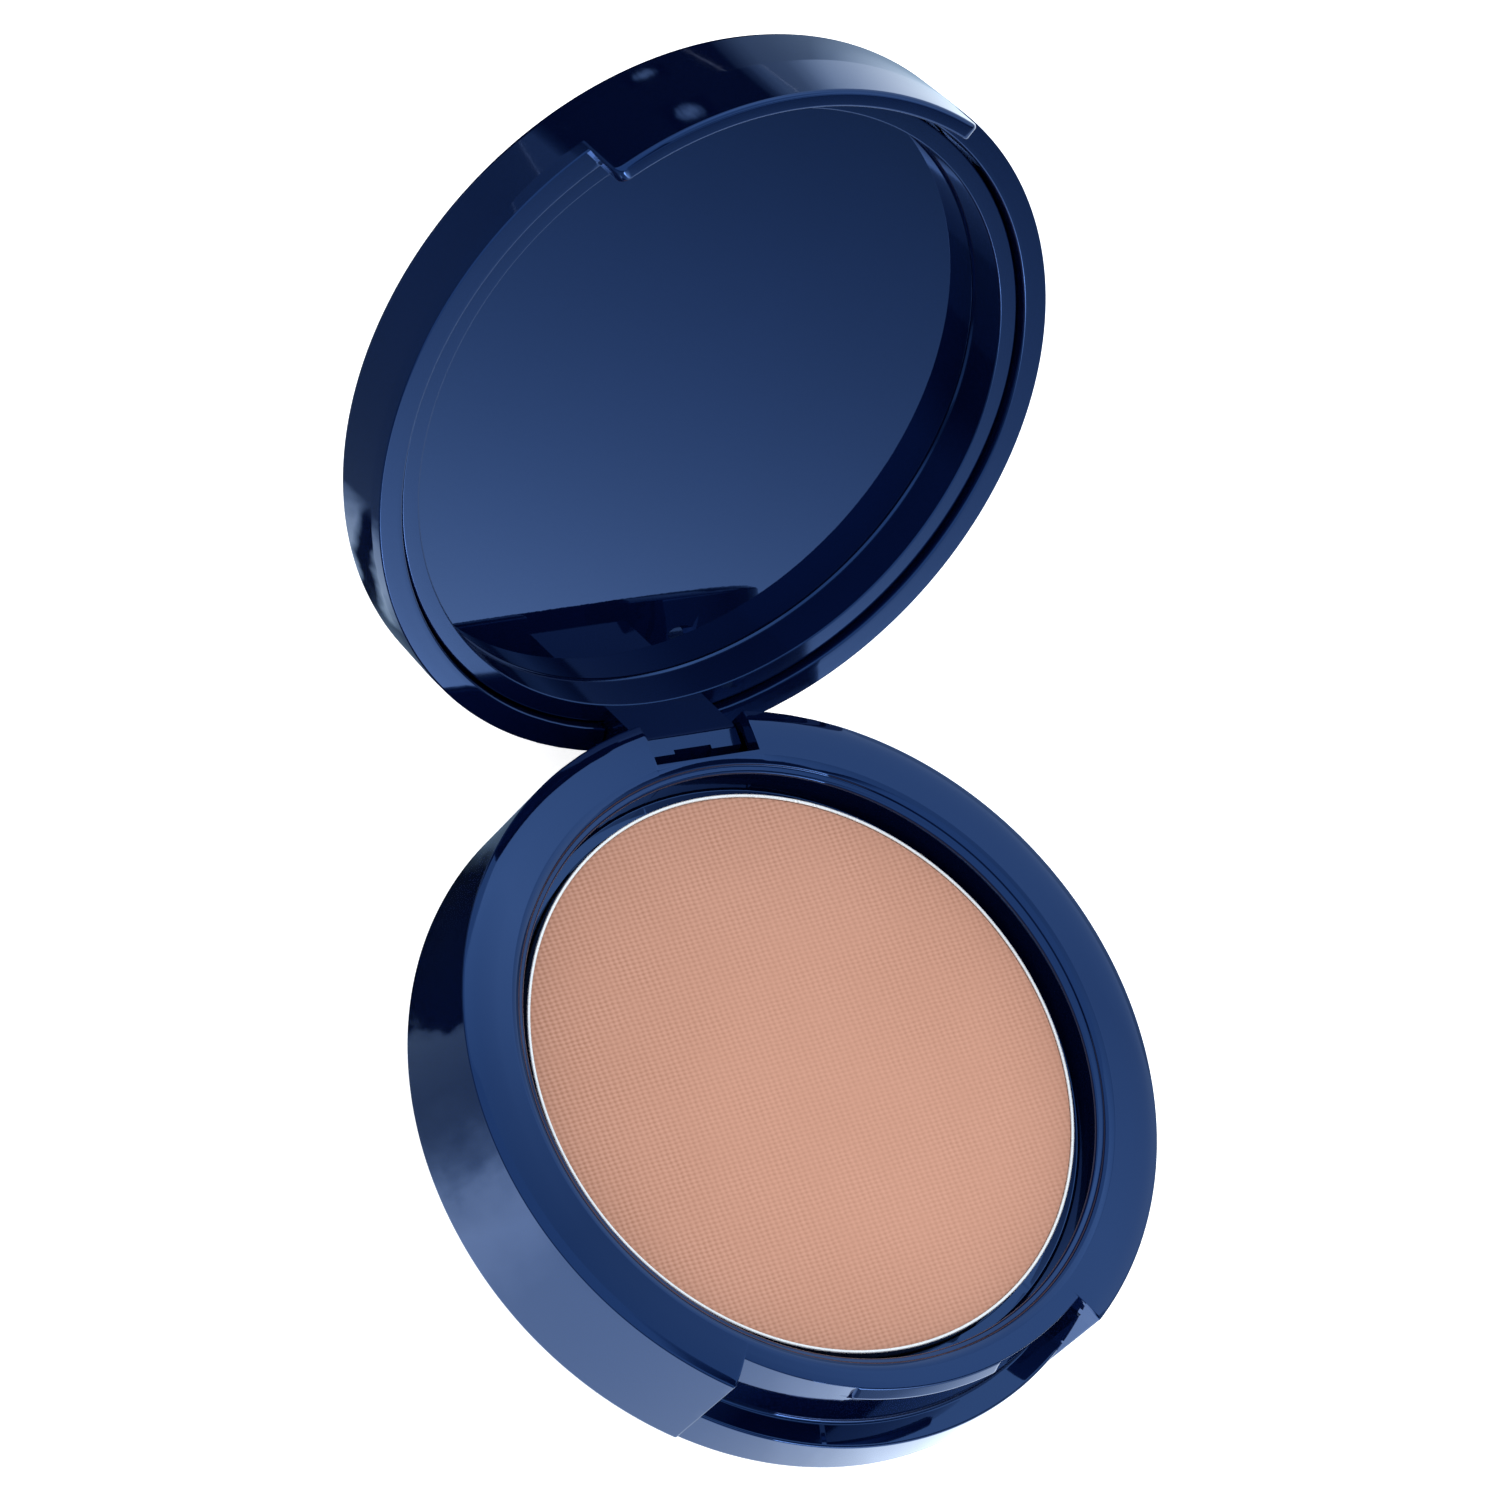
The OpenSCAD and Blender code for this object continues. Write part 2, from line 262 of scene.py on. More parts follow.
def outline(corners, ring=False):
    """Points of an outline. A corner (r, z, d) is rounded over the length d to either side.

    With d 0 it stays sharp. A ring closes on itself.
    """
    points, count = [], len(corners)
    for i, (r, z, d) in enumerate(corners):
        if d == 0 or (not ring and i in (0, count - 1)):
            points.append((r, z))
            continue
        p = Vector((r, z))
        before = Vector(corners[i - 1][:2]) - p
        after = Vector(corners[(i + 1) % count][:2]) - p
        weight = math.sin(before.angle(after, math.pi) / 2)
        before = p + before.normalized() * min(d, before.length * 0.48)
        after = p + after.normalized() * min(d, after.length * 0.48)
        for k in range(ROUND + 1):
            t = k / ROUND
            a, b, c = (1 - t) ** 2, 2 * t * (1 - t) * weight, t * t
            points.append(tuple((a * before + b * p + c * after) / (a + b + c)))
    return points


def towards(a, b, distance):
    """Outline a moved towards outline b, point by point, by at most that distance."""
    moved = []
    for p, q in zip(a, b):
        p, q = Vector(p), Vector(q)
        gap = (q - p).length
        moved.append(tuple(p + (q - p) * min(1, distance / gap)) if gap > 1e-9 else tuple(p))
    return moved


def turned(points, turn):
    """Outline points (r, z) set at an angle from the front (-Y) towards +X.

    turn is that angle, or a function that gives it for r.
    """
    out = []
    for r, z in points:
        angle = turn(r) if callable(turn) else turn
        out.append(Vector((r * math.sin(angle), -r * math.cos(angle), z)))
    return out


def mirrored(columns):
    """The x > 0 half, from front to back, joined to its mirror image."""
    other = [[Vector((-p.x, p.y, p.z)) for p in column] for column in columns[1:-1]]
    return columns + other[::-1]


def skin(columns, ring=False, wrap=True, caps=False):
    """A closed mesh over columns of points, all of one length."""
    n, m = len(columns[0]), len(columns)
    bm = bmesh.new()
    rows = [[bm.verts.new(p * MM) for p in column] for column in columns]
    for j in range(m if wrap else m - 1):
        a, b = rows[j], rows[(j + 1) % m]
        for k in range(n if ring else n - 1):
            bm.faces.new((a[k], b[k], b[(k + 1) % n], a[(k + 1) % n]))
    if caps:
        bm.faces.new(rows[0])
        bm.faces.new(rows[-1][::-1])
    bmesh.ops.remove_doubles(bm, verts=bm.verts, dist=1e-6)
    bmesh.ops.dissolve_degenerate(bm, edges=bm.edges, dist=1e-7)
    bmesh.ops.recalc_face_normals(bm, faces=bm.faces)
    return bm


def piece(name, bm, mat, body, nodes=(), sharp=38, bevel=0.0, opened=False):
    """A smooth-shaded object made of a bmesh, riding on a body; opened turns it with the open lid."""
    mesh = bpy.data.meshes.new(name)
    if opened:
        bm.transform(OPEN)
    bm.to_mesh(mesh)
    bm.free()
    mesh.materials.append(mat)
    obj = bpy.data.objects.new(name, mesh)
    bpy.context.scene.collection.objects.link(obj)
    if bevel:
        mod = obj.modifiers.new("edges", "BEVEL")
        mod.width = bevel * MM
        mod.segments = 3
        mod.limit_method = "ANGLE"
        mod.angle_limit = math.radians(30)
    mesh.polygons.foreach_set("use_smooth", [True] * len(mesh.polygons))
    mesh.set_sharp_from_angle(angle=math.radians(sharp))
    mod = obj.modifiers.new("normals", "WEIGHTED_NORMAL")
    mod.keep_sharp = True
    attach(obj, body)
    if nodes:
        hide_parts(*nodes)
    return obj


def lathe(corners, steps=240, ring=False):
    points = outline(corners, ring)
    return skin([turned(points, TURN * i / steps) for i in range(steps)], ring=ring)


def spread(first, last, step):
    """Evenly spaced angles from first to last, both kept, about step apart (degrees in, radians out)."""
    count = max(1, round(abs(last - first) / step))
    return [math.radians(first + (last - first) * i / count) for i in range(count + 1)]


NOTCH_STEP, WALL_STEP = 1.5, 1.6  # degrees between two sections
JOIN = 155  # degrees from the front, where the sections begin to turn towards constant x

# The lid is made closed and turned open about its pin
PIVOT = Vector(JOINT["pos_m"])
OPEN_ANGLE = math.radians(JOINT["range_deg"][1])
OPEN = Matrix.Translation(PIVOT) @ Matrix.Rotation(-OPEN_ANGLE, 4, "X") @ Matrix.Translation(-PIVOT)
PIN_Y, PIN_Z = PIVOT.y / MM, PIVOT.z / MM

# ---------------------------------------------------------------- base shell
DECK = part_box("base_shell")[1].z / MM
WALL_R, FOOT_R = 37.75, 37.6
WELL_R, WELL_Z, SEAT_R, SEAT_Z = 29.87, 6.8, 31.05, 9.4  # room for the pan and the open gap round it
DECK_IN = 32.5
CAVITY_R, CAVITY_TOP, LOW_TOP = 36.1, 12.3, 4.0  # the hollow underside, lower behind the notch and the slot
RIB_Z, RIB_R, WELL_UNDER = 8.0, 31.27, 5.6
NOTCH_R, NOTCH_END, LEDGE = 34.6, 34.15, DECK - 8.6
BEAD_OUT, BEAD_END, BEAD_SOFT = 0.55, 13.0, 1.0
SLOT_X, SLOT_Y, SLOT_Z = 6.0, 32.75, DECK - 8.8
EDGE, EDGE_R = 0.22, 36  # rounding of the upright edges of the notch and the slot, and their mean radius


def wall(z):
    return FOOT_R + (WALL_R - FOOT_R) * z / DECK


def base_outline(kind, bead=0.0, x=0.0):
    """Section of the base: "wall" is the plain one, "notch" the front, "slot" the hinge slot at that x.

    All three have the same number of corners, so neighbouring sections join point to point.
    """
    well = [
        (0, WELL_Z, 0), (WELL_R, WELL_Z, 0), (WELL_R, SEAT_Z, 0.06), (SEAT_R, SEAT_Z, 0.2),
        (SEAT_R + 0.03, DECK - 0.88, 0.3), (31.72, DECK - 0.64, 0.12), (31.85, DECK - 0.36, 0.1),
        (DECK_IN, DECK, 0.35),
    ]
    if kind == "wall":
        outside = [
            (34.9, DECK, 0.6), (36.1, DECK - 0.08, 0.5), (36.8, DECK - 0.22, 0.35),
            (WALL_R, DECK - 0.58, 0.2),
        ]
        outside += [(wall(z), z, 0.1) for z in (13.2, 12.9, 12.2, 11.8)]
        outside += [(wall(z), z, 0.2) for z in (7.0, 5.7)] + [(FOOT_R, 0, 0.55)]
        under = [(CAVITY_R, CAVITY_TOP, 0), (32.45, CAVITY_TOP, 0), (32.45, RIB_Z, 0)]
    elif kind == "notch":
        out = NOTCH_R + BEAD_OUT * bead
        outside = [
            (33.3, DECK, 0.1), (33.9, DECK, 0.1), (34.3, DECK - 0.02, 0.1), (NOTCH_R, DECK - 0.06, 0.1),
            (NOTCH_R + 0.12 * bead, 13.86, 0.05), (out, 12.5, 0.2), (out - 0.15 * bead, 12.15, 0.15),
            (NOTCH_R, 11.6, 0.15), (NOTCH_R, LEDGE, 0.4), (37.3, LEDGE, 0.3), (37.29, 0, 0.4),
        ]
        under = [(CAVITY_R, LOW_TOP, 0), (31.9, LOW_TOP, 0), (31.9, RIB_Z, 0)]
    else:
        r = math.hypot(x, SLOT_Y)
        left = r - DECK_IN
        outside = [
            (DECK_IN + left * 0.4, DECK, 0.03), (DECK_IN + left * 0.6, DECK, 0.03),
            (r - 0.06, DECK - 0.01, 0.03), (r, DECK - 0.08, 0.05),
        ]
        outside += [(r, z, 0.1) for z in (13.0, 12.0, 10.0, 8.0)]
        outside += [(r, SLOT_Z, 0.1), (wall(SLOT_Z), SLOT_Z, 0.2), (FOOT_R, 0, 0.55)]
        under = [(CAVITY_R, LOW_TOP, 0), (31.9, LOW_TOP, 0), (31.9, RIB_Z, 0)]
    inside = [(RIB_R, RIB_Z, 0), (RIB_R, WELL_UNDER, 0), (0, WELL_UNDER, 0)]
    return outline(well + outside + [(CAVITY_R, 0, 0.08)] + under + inside)


def upright(x):
    """Turn that keeps points beyond 25 mm in the plane of that x, behind the centre."""
    return lambda r: math.pi - math.asin(x / max(r, 25.0))


def between(share, last):
    """Turn that is JOIN at share 0 and the turn last at share 1."""
    return lambda r: (1 - share) * math.radians(JOIN) + share * last(r)


CORNER = [0, 22.5, 45, 67.5, 90]  # steps round an upright edge, in degrees


def base_columns():
    wall_line, notch_line = base_outline("wall"), base_outline("notch")
    columns = []
    for angle in spread(0, BEAD_END, NOTCH_STEP):
        columns.append(turned(base_outline("notch", 1.0), angle))
    for i in range(1, 7):
        share = i / 6
        angle = math.radians(BEAD_END + BEAD_SOFT * share)
        columns.append(turned(base_outline("notch", math.sqrt(max(0, 1 - share ** 3))), angle))
    columns += [turned(notch_line, a) for a in spread(BEAD_END + BEAD_SOFT, NOTCH_END, NOTCH_STEP)[1:]]
    for a in reversed(CORNER):
        a = math.radians(a)
        angle = math.radians(NOTCH_END) + EDGE * (1 - math.sin(a)) / EDGE_R
        columns.append(turned(towards(wall_line, notch_line, EDGE * (1 - math.cos(a))), angle))
    columns += [turned(wall_line, a) for a in spread(NOTCH_END + NOTCH_STEP, JOIN, WALL_STEP)]
    edge_turn = upright(SLOT_X + EDGE)
    for share in (0.25, 0.5, 0.75):
        columns.append(turned(wall_line, between(share, edge_turn)))
    slot_line = base_outline("slot", x=SLOT_X)
    for a in CORNER:
        a = math.radians(a)
        moved = towards(wall_line, slot_line, EDGE * (1 - math.cos(a)))
        columns.append(turned(moved, upright(SLOT_X + EDGE * (1 - math.sin(a)))))
    for x in (SLOT_X, 4.5, 3.0, 1.5, 0.0):
        columns.append(turned(base_outline("slot", x=x), upright(x)))
    return mirrored(columns)


def cut(bm, cutter):
    """bm with the solid cutter taken away."""
    made = []
    for name, source in (("cut_body", bm), ("cut_tool", cutter)):
        mesh = bpy.data.meshes.new(name)
        source.to_mesh(mesh)
        source.free()
        made.append(bpy.data.objects.new(name, mesh))
        bpy.context.scene.collection.objects.link(made[-1])
    mod = made[0].modifiers.new("cut", "BOOLEAN")
    mod.operation = "DIFFERENCE"
    mod.solver = "EXACT"
    mod.object = made[1]
    bpy.context.view_layer.update()
    result = bmesh.new()
    result.from_mesh(made[0].evaluated_get(bpy.context.evaluated_depsgraph_get()).to_mesh())
    for obj in made:
        bpy.data.objects.remove(obj)
    return result


def rod(radius, x0, x1, y, z, sides=40):
    """Round solid along X."""
    angles = [TURN * i / sides for i in range(sides)]
    ends = [
        [Vector((x, y + radius * math.cos(a), z + radius * math.sin(a))) for a in angles]
        for x in (x0, x1)
    ]
    return skin(ends, ring=True, wrap=False, caps=True)


pin_low, pin_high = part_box("hinge_pin")
PIN_R = (pin_high.z - pin_low.z) / 2 / MM
base = cut(skin(base_columns()), rod(PIN_R + 0.02, pin_high.x / MM - 0.3, WALL_R, PIN_Y, PIN_Z))
piece("base_body", base, shell_mat, "base", ["base_shell"])

# ---------------------------------------------------------------- lid shell
RIM = DECK + 0.3
BACK, CROWN = RIM + 8.3, 0.24
PLATE = BACK - 1.4
RIM_IN, RIM_OUT, BACK_R = 35.3, 37.89, 37.6
SKIRT_IN, SKIRT_END, SKIRT_Z, SKIRT_CORNER, SKIRT_MEAN = 36.1, 33.5, DECK - 4.65, 1.1, 37
REAR_X, REAR_H = 6.1, 1.3


def crown(r):
    return BACK + CROWN * (1 - (r / 36.7) ** 2)


def lid_outline(skirt_z=None, pinch=0.0, rim=RIM):
    """Section of the closed lid; skirt_z is the skirt's lower edge where there is one."""
    if skirt_z is None:
        edge = [(36.1, rim, 0.1), (36.6, rim, 0.15), (RIM_OUT, rim, 0.16)]
    else:
        inner, outer = SKIRT_IN + pinch, RIM_OUT - pinch
        edge = [(inner, rim, 0.1), (inner, skirt_z, 0.3), (outer, skirt_z, 0.5)]
    return outline(
        [(0, PLATE, 0), (RIM_IN, PLATE, 0.1), (RIM_IN, rim, 0.22)]
        + edge
        + [(RIM_OUT, RIM + 1.6, 0.1), (BACK_R, BACK, 0.94)]
        + [(r, crown(r), 0) for r in (35.5, 32, 26, 18, 9, 0)]
    )


def lid_columns():
    columns = []
    for a in spread(0, SKIRT_END - 2.0, NOTCH_STEP):
        columns.append(turned(lid_outline(SKIRT_Z), a))
    for i in range(1, 9):
        inside = SKIRT_CORNER * (1 - math.sin(math.radians(90 * i / 8)))
        rise = SKIRT_CORNER - math.sqrt(max(0, SKIRT_CORNER ** 2 - (SKIRT_CORNER - inside) ** 2))
        pinch = EDGE * (1 - math.sqrt(max(0, 1 - max(0, 1 - inside / EDGE) ** 2)))
        angle = math.radians(SKIRT_END) - inside / SKIRT_MEAN
        columns.append(turned(lid_outline(SKIRT_Z + rise, pinch), angle))
    plain = lid_outline()
    columns += [turned(plain, a) for a in spread(SKIRT_END, JOIN, WALL_STEP)]
    edge_turn = upright(REAR_X)
    for share in (0.25, 0.5, 0.75, 1.0):
        columns.append(turned(plain, between(share, edge_turn)))
    cut_line = lid_outline(rim=RIM + REAR_H)
    columns += [turned(cut_line, upright(x)) for x in (REAR_X, 5.6, 3.7, 1.9, 0.0)]
    return mirrored(columns)


piece("lid_body", skin(lid_columns()), shell_mat, "lid", ["lid_shell"], opened=True)

# ---------------------------------------------------------------- mirror frame and hinge block
FRAME_IN, FRAME_OUT, FRAME_Z = 33.0, 34.95, RIM + 0.8
TAPE, GLASS, GLASS_GAP = 0.15, 1.2, 0.1
MIRROR_Z = PLATE - TAPE - GLASS
LAP_Z = MIRROR_Z - GLASS_GAP
ring_bm = lathe(
    [
        (FRAME_IN - 0.3, LAP_Z, 0.04), (FRAME_IN - 0.1, LAP_Z - 0.28, 0.08), (FRAME_IN, FRAME_Z, 0.16),
        (FRAME_OUT, FRAME_Z, 0.2), (FRAME_OUT, PLATE, 0.05), (33.75, PLATE, 0), (33.75, LAP_Z, 0),
    ],
    ring=True,
)
piece("mirror_frame", ring_bm, frame_mat, "lid", ["lid_frame"], opened=True)

BLOCK_X, RELIEF_X, RELIEF_Z = 5.6, 2.15, PIN_Z - 1.8
BLOCK_TOP = RIM + REAR_H - 0.15


def block_outline(x, relief):
    """Side view of the hinge block; relief lifts its lower face in the middle."""
    low = RELIEF_Z if relief else PIN_Z - 2.15
    outer = math.sqrt(FRAME_OUT ** 2 - x * x) - 0.02
    points = [
        (33.1, FRAME_Z + 2), (33.1, PIN_Z - 0.2), (33.35, PIN_Z - 0.8), (34.05 if relief else 34.3, low),
        (36.4, low), (37.6, PIN_Z - 0.7), (37.6, BLOCK_TOP), (outer, BLOCK_TOP), (outer, FRAME_Z + 2),
    ]
    return [Vector((x, min(y, math.sqrt(37.65 ** 2 - x * x)), z)) for y, z in points]


block = [(-BLOCK_X, 0), (-4.0, 0), (-RELIEF_X, 0), (-RELIEF_X, 1), (0.0, 1)]
block += [(-x, relief) for x, relief in block[-2::-1]]
block_bm = skin([block_outline(x, relief) for x, relief in block], ring=True, wrap=False, caps=True)
piece("hinge_block", block_bm, frame_mat, "lid", bevel=0.16, opened=True)

# ---------------------------------------------------------------- mirror
MIRROR_R = 33.5
glass = lathe(
    [
        (0, MIRROR_Z, 0), (MIRROR_R - 0.95, MIRROR_Z, 0), (MIRROR_R - 0.25, MIRROR_Z, 0.1),
        (MIRROR_R, MIRROR_Z + 0.25, 0.1), (MIRROR_R, MIRROR_Z + GLASS, 0), (0, MIRROR_Z + GLASS, 0),
    ]
)
piece("mirror_glass", glass, mirror_mat, "lid", ["mirror"], opened=True)

# ---------------------------------------------------------------- pan and powder
PAN_R, PAN_WALL = 29.75, 0.35
pan_bm = lathe(
    [
        (0, PAN_Z, 0), (PAN_R, PAN_Z, 0.8), (PAN_R, PAN_TOP, 0.13), (PAN_R - PAN_WALL, PAN_TOP, 0.13),
        (PAN_R - PAN_WALL, PAN_Z + PAN_WALL, 0.5), (0, PAN_Z + PAN_WALL, 0),
    ]
)
piece("powder_pan", pan_bm, pan_mat, "base", ["pan"])

CAKE_R, CAKE_Z = PAN_R - PAN_WALL - 0.02, PAN_TOP - 0.12
CELL_U, CELL_V = WARP / 4, WEFT / 4
EMBOSS = 0.04


def weave(x, y):
    """Height of the embossed cloth at a point of the cake, between 0 and 1."""
    u = TURN * (x * math.cos(LEAN[0]) + y * math.sin(LEAN[0])) / WARP
    v = TURN * (y * math.cos(LEAN[1]) - x * math.sin(LEAN[1])) / WEFT
    threads = 0.5 + 0.25 * math.cos(u) + 0.25 * math.cos(v)
    cross = 0.5 + 0.5 * math.cos(u / 2) * math.cos(v / 2)
    return 0.85 * threads + 0.15 * cross


def firmness(x, y):
    """How deeply the cloth bit into the cake: less in the middle and towards the right."""
    patches = math.sin(x * 0.31 + 1.3) * math.sin(y * 0.27)
    return 0.62 + 0.38 * min(1, math.hypot(x - 5, y + 1) / 24) + 0.12 * patches


def cake():
    bm = bmesh.new()
    half_u, half_v = int(CAKE_R / CELL_U) + 2, int(CAKE_R / CELL_V) + 2
    grid = {}
    turn_c, turn_s = math.cos(LEAN[0]), math.sin(LEAN[0])
    for i in range(-half_u, half_u + 1):
        for j in range(-half_v, half_v + 1):
            a, b = i * CELL_U, j * CELL_V
            x, y = a * turn_c - b * turn_s, a * turn_s + b * turn_c
            r = math.hypot(x, y)
            if r > CAKE_R + 0.75 * CELL_U:
                continue
            if r > CAKE_R - 0.5 * CELL_V:
                x, y, r = x * CAKE_R / r, y * CAKE_R / r, CAKE_R
            edge = min(1.0, (CAKE_R - r) / 0.35)
            slump = 0.10 * (1 - edge) ** 2
            z = CAKE_Z - slump + EMBOSS * (weave(x, y) - 1) * firmness(x, y) * edge
            grid[i, j] = bm.verts.new((x * MM, y * MM, z * MM))
    for i, j in list(grid):
        corners = [(i, j), (i + 1, j), (i + 1, j + 1), (i, j + 1)]
        if all(c in grid for c in corners):
            bm.faces.new([grid[c] for c in corners])
    bmesh.ops.delete(bm, geom=[v for v in bm.verts if not v.link_faces], context="VERTS")
    bmesh.ops.remove_doubles(bm, verts=bm.verts, dist=4e-6)
    bmesh.ops.dissolve_degenerate(bm, edges=bm.edges, dist=1e-6)
    rim = [e for e in bm.edges if e.is_boundary]
    for v in {v for e in rim for v in e.verts}:
        r = math.hypot(v.co.x, v.co.y)
        v.co.x, v.co.y = v.co.x * CAKE_R * MM / r, v.co.y * CAKE_R * MM / r
    side = bmesh.ops.extrude_edge_only(bm, edges=rim)["geom"]
    for v in side:
        if isinstance(v, bmesh.types.BMVert):
            v.co.z = (PAN_Z + PAN_WALL + 0.6) * MM
    bmesh.ops.holes_fill(bm, edges=[e for e in bm.edges if e.is_boundary], sides=0)
    bmesh.ops.recalc_face_normals(bm, faces=bm.faces)
    return bm


piece("powder_cake", cake(), powder_mat, "base", ["powder"], sharp=60)

for name, mat in {
    "bottom_cover": cover_mat, "bottom_label": label_mat, "pan_glue": glue_mat,
    "hinge_pin": pin_mat, "mirror_adhesive": tape_mat,
}.items():
    obj = NODES[name]
    obj.data.materials.clear()
    obj.data.materials.append(mat)


# ---------------------------------------------------------------- stage
def stage_mesh(name, verts, faces, mat):
    mesh = bpy.data.meshes.new(name)
    mesh.from_pydata(verts, [], faces)
    obj = bpy.data.objects.new(name, mesh)
    bpy.context.scene.collection.objects.link(obj)
    mesh.materials.append(mat)
    return obj


def floor_material():
    mat, tree, shader = new_material("pale_floor")
    shader.inputs["Base Color"].default_value = (0.86, 0.86, 0.87, 1)
    shader.inputs["Roughness"].default_value = 0.9
    shader.inputs["Specular IOR Level"].default_value = 0.1
    shader.inputs["Emission Color"].default_value = (1.0, 1.0, 1.0, 1)
    shader.inputs["Emission Strength"].default_value = 0.8
    return mat


def toned(tree, power):
    """Colour of a reflected light: deep blue when dim, near white when bright."""
    return ramp(tree, math_node(tree, "DIVIDE", power, 2.0), [
        (0.0, (0.35, 0.6, 1.0)), (0.2, (0.49, 0.72, 1.0)), (0.7, (0.68, 0.84, 1.0)), (1.0, (0.79, 0.90, 1.0)),
    ])


def glow_material(name):
    """Plain light-giving surface; returns the strength socket to drive with a pattern."""
    mat = bpy.data.materials.new(name)
    mat.use_nodes = True
    tree = mat.node_tree
    tree.nodes.clear()
    out = tree.nodes.new("ShaderNodeOutputMaterial")
    glow = tree.nodes.new("ShaderNodeEmission")
    tree.links.new(glow.outputs["Emission"], out.inputs["Surface"])
    power = tree.nodes.new("ShaderNodeMath")
    power.operation = "ADD"
    power.inputs[1].default_value = 0.0
    tree.links.new(power.outputs["Value"], glow.inputs["Strength"])
    tree.links.new(toned(tree, power.outputs["Value"]), glow.inputs["Color"])
    return mat, tree, power.inputs[0]


def reflected_only(obj):
    """A studio card that is seen in glossy surfaces and nowhere else."""
    obj.visible_camera = False
    obj.visible_diffuse = False
    obj.visible_shadow = False
    obj.visible_transmission = False
    obj.visible_volume_scatter = False


def bearing(tree, vector):
    """Degrees from +Y towards +X of a vector socket."""
    part = tree.nodes.new("ShaderNodeSeparateXYZ")
    tree.links.new(vector, part.inputs["Vector"])
    turn = math_node(tree, "ARCTAN2", part.outputs["X"], part.outputs["Y"])
    return math_node(tree, "MULTIPLY", turn, 180 / math.pi), part.outputs


def circle(radius, z, sides):
    angles = [TURN * i / sides for i in range(sides)]
    return [(radius * math.cos(a), radius * math.sin(a), z) for a in angles]


# Stage sizes are in metres
FLOOR_R, FLOOR_Z = 3.0, -0.0001
LIGHT = 1.45  # strength of the white surroundings
stage_mesh("floor", circle(FLOOR_R, FLOOR_Z, 64), [tuple(range(64))], floor_material())


def ragged(tree, vector, angle, scale, amount):
    """The angle shifted to and fro by a noise over the direction."""
    unit = tree.nodes.new("ShaderNodeVectorMath")
    unit.operation = "NORMALIZE"
    tree.links.new(vector, unit.inputs[0])
    tex = tree.nodes.new("ShaderNodeTexNoise")
    tex.inputs["Scale"].default_value = scale
    tex.inputs["Detail"].default_value = 4
    tree.links.new(unit.outputs["Vector"], tex.inputs["Vector"])
    shift = math_node(tree, "MULTIPLY", math_node(tree, "SUBTRACT", tex.outputs["Fac"], 0.5), amount)
    return math_node(tree, "ADD", angle, shift)


def mix_values(tree, share, a, b):
    """a where share is 0, b where it is 1."""
    return math_node(tree, "ADD", a, math_node(tree, "MULTIPLY", share, math_node(tree, "SUBTRACT", b, a)))


# What the glossy walls see of the table: dark behind the case, bright in front and to the right.
# close is the light within about 50 mm of the middle and wide the light beyond, both by bearing.
mat, tree, strength = glow_material("table_card")
coord = tree.nodes.new("ShaderNodeTexCoord").outputs["Object"]
angle, part = bearing(tree, coord)
wobble = math_node(tree, "MULTIPLY", math_node(tree, "SUBTRACT", noise(tree, 220, 4, 0.55), 0.5), 11)
close_angle = math_node(tree, "ADD", angle, wobble)
close = levels(tree, close_angle, [
    (-180, 2.6), (-172, 2.2), (-160, 1.75), (-150, 1.65), (-114, 1.6), (-103, 1.95), (-96, 1.6),
    (-90, 0.8), (-84, 0.42), (-78, 0.33), (-68, 0.38), (-66, 0.01), (-36, 0.01), (-30, 0.2), (60, 0.3),
    (90, 1.5), (180, 2.6),
])
wide = levels(tree, ragged(tree, coord, angle, 6, 7), [
    (-180, 0.5), (-100, 0.5), (-88, 0.38), (-60, 0.3), (-36, 0.26), (-26, 0.21), (-13.2, 0.25),
    (-12.4, 0.01), (24.5, 0.01), (26, 0.45), (31, 0.6), (33, 1.25), (36, 2.0), (50, 2.6), (80, 1.5),
    (110, 1.3), (150, 1.3), (180, 0.8),
])
reach = tree.nodes.new("ShaderNodeVectorMath")
reach.operation = "LENGTH"
tree.links.new(coord, reach.inputs[0])
is_wide = levels(tree, reach.outputs["Value"], [(0.0, 0), (0.046, 0), (0.056, 1), (0.1, 1)])
table_light = mix_values(tree, is_wide, math_node(tree, "MULTIPLY", close, 1.1), wide)

# A bright patch with a dark streak, at one place of the table behind the case
SPOT_X, SPOT_Y, STREAK_TURN = -0.036, 0.061, math.radians(66.8)
spot = tree.nodes.new("ShaderNodeVectorMath")
spot.operation = "DISTANCE"
tree.links.new(coord, spot.inputs[0])
spot.inputs[1].default_value = (SPOT_X, SPOT_Y, 0)
x_part = math_node(tree, "MULTIPLY", math_node(tree, "SUBTRACT", part["X"], SPOT_X), math.cos(STREAK_TURN))
y_part = math_node(tree, "MULTIPLY", math_node(tree, "SUBTRACT", part["Y"], SPOT_Y), math.sin(STREAK_TURN))
across = math_node(tree, "ADD", x_part, y_part)
uneven = math_node(tree, "MULTIPLY", math_node(tree, "SUBTRACT", noise(tree, 170, 3, 0.5), 0.5), 0.010)
across = math_node(tree, "ADD", across, math_node(tree, "MULTIPLY", uneven, 0.35))
away = math_node(tree, "ABSOLUTE", across)
streak = levels(tree, away, [(0, 0.02), (0.0009, 0.02), (0.0022, 1.3), (0.01, 1.3)])
from_spot = math_node(tree, "ADD", spot.outputs["Value"], uneven)
patch = levels(tree, from_spot, [(0, 1), (0.0065, 1), (0.012, 0), (0.03, 0)])
tree.links.new(mix_values(tree, patch, table_light, streak), strength)

TABLE_IN, TABLE_OUT, TABLE_Z, SIDES = 0.0372, 2.9, 0.00003, 120
table = stage_mesh(
    "table_card",
    circle(TABLE_IN, TABLE_Z, SIDES) + circle(TABLE_OUT, TABLE_Z, SIDES),
    [(i, (i + 1) % SIDES, SIDES + (i + 1) % SIDES, SIDES + i) for i in range(SIDES)],
    mat,
)
reflected_only(table)


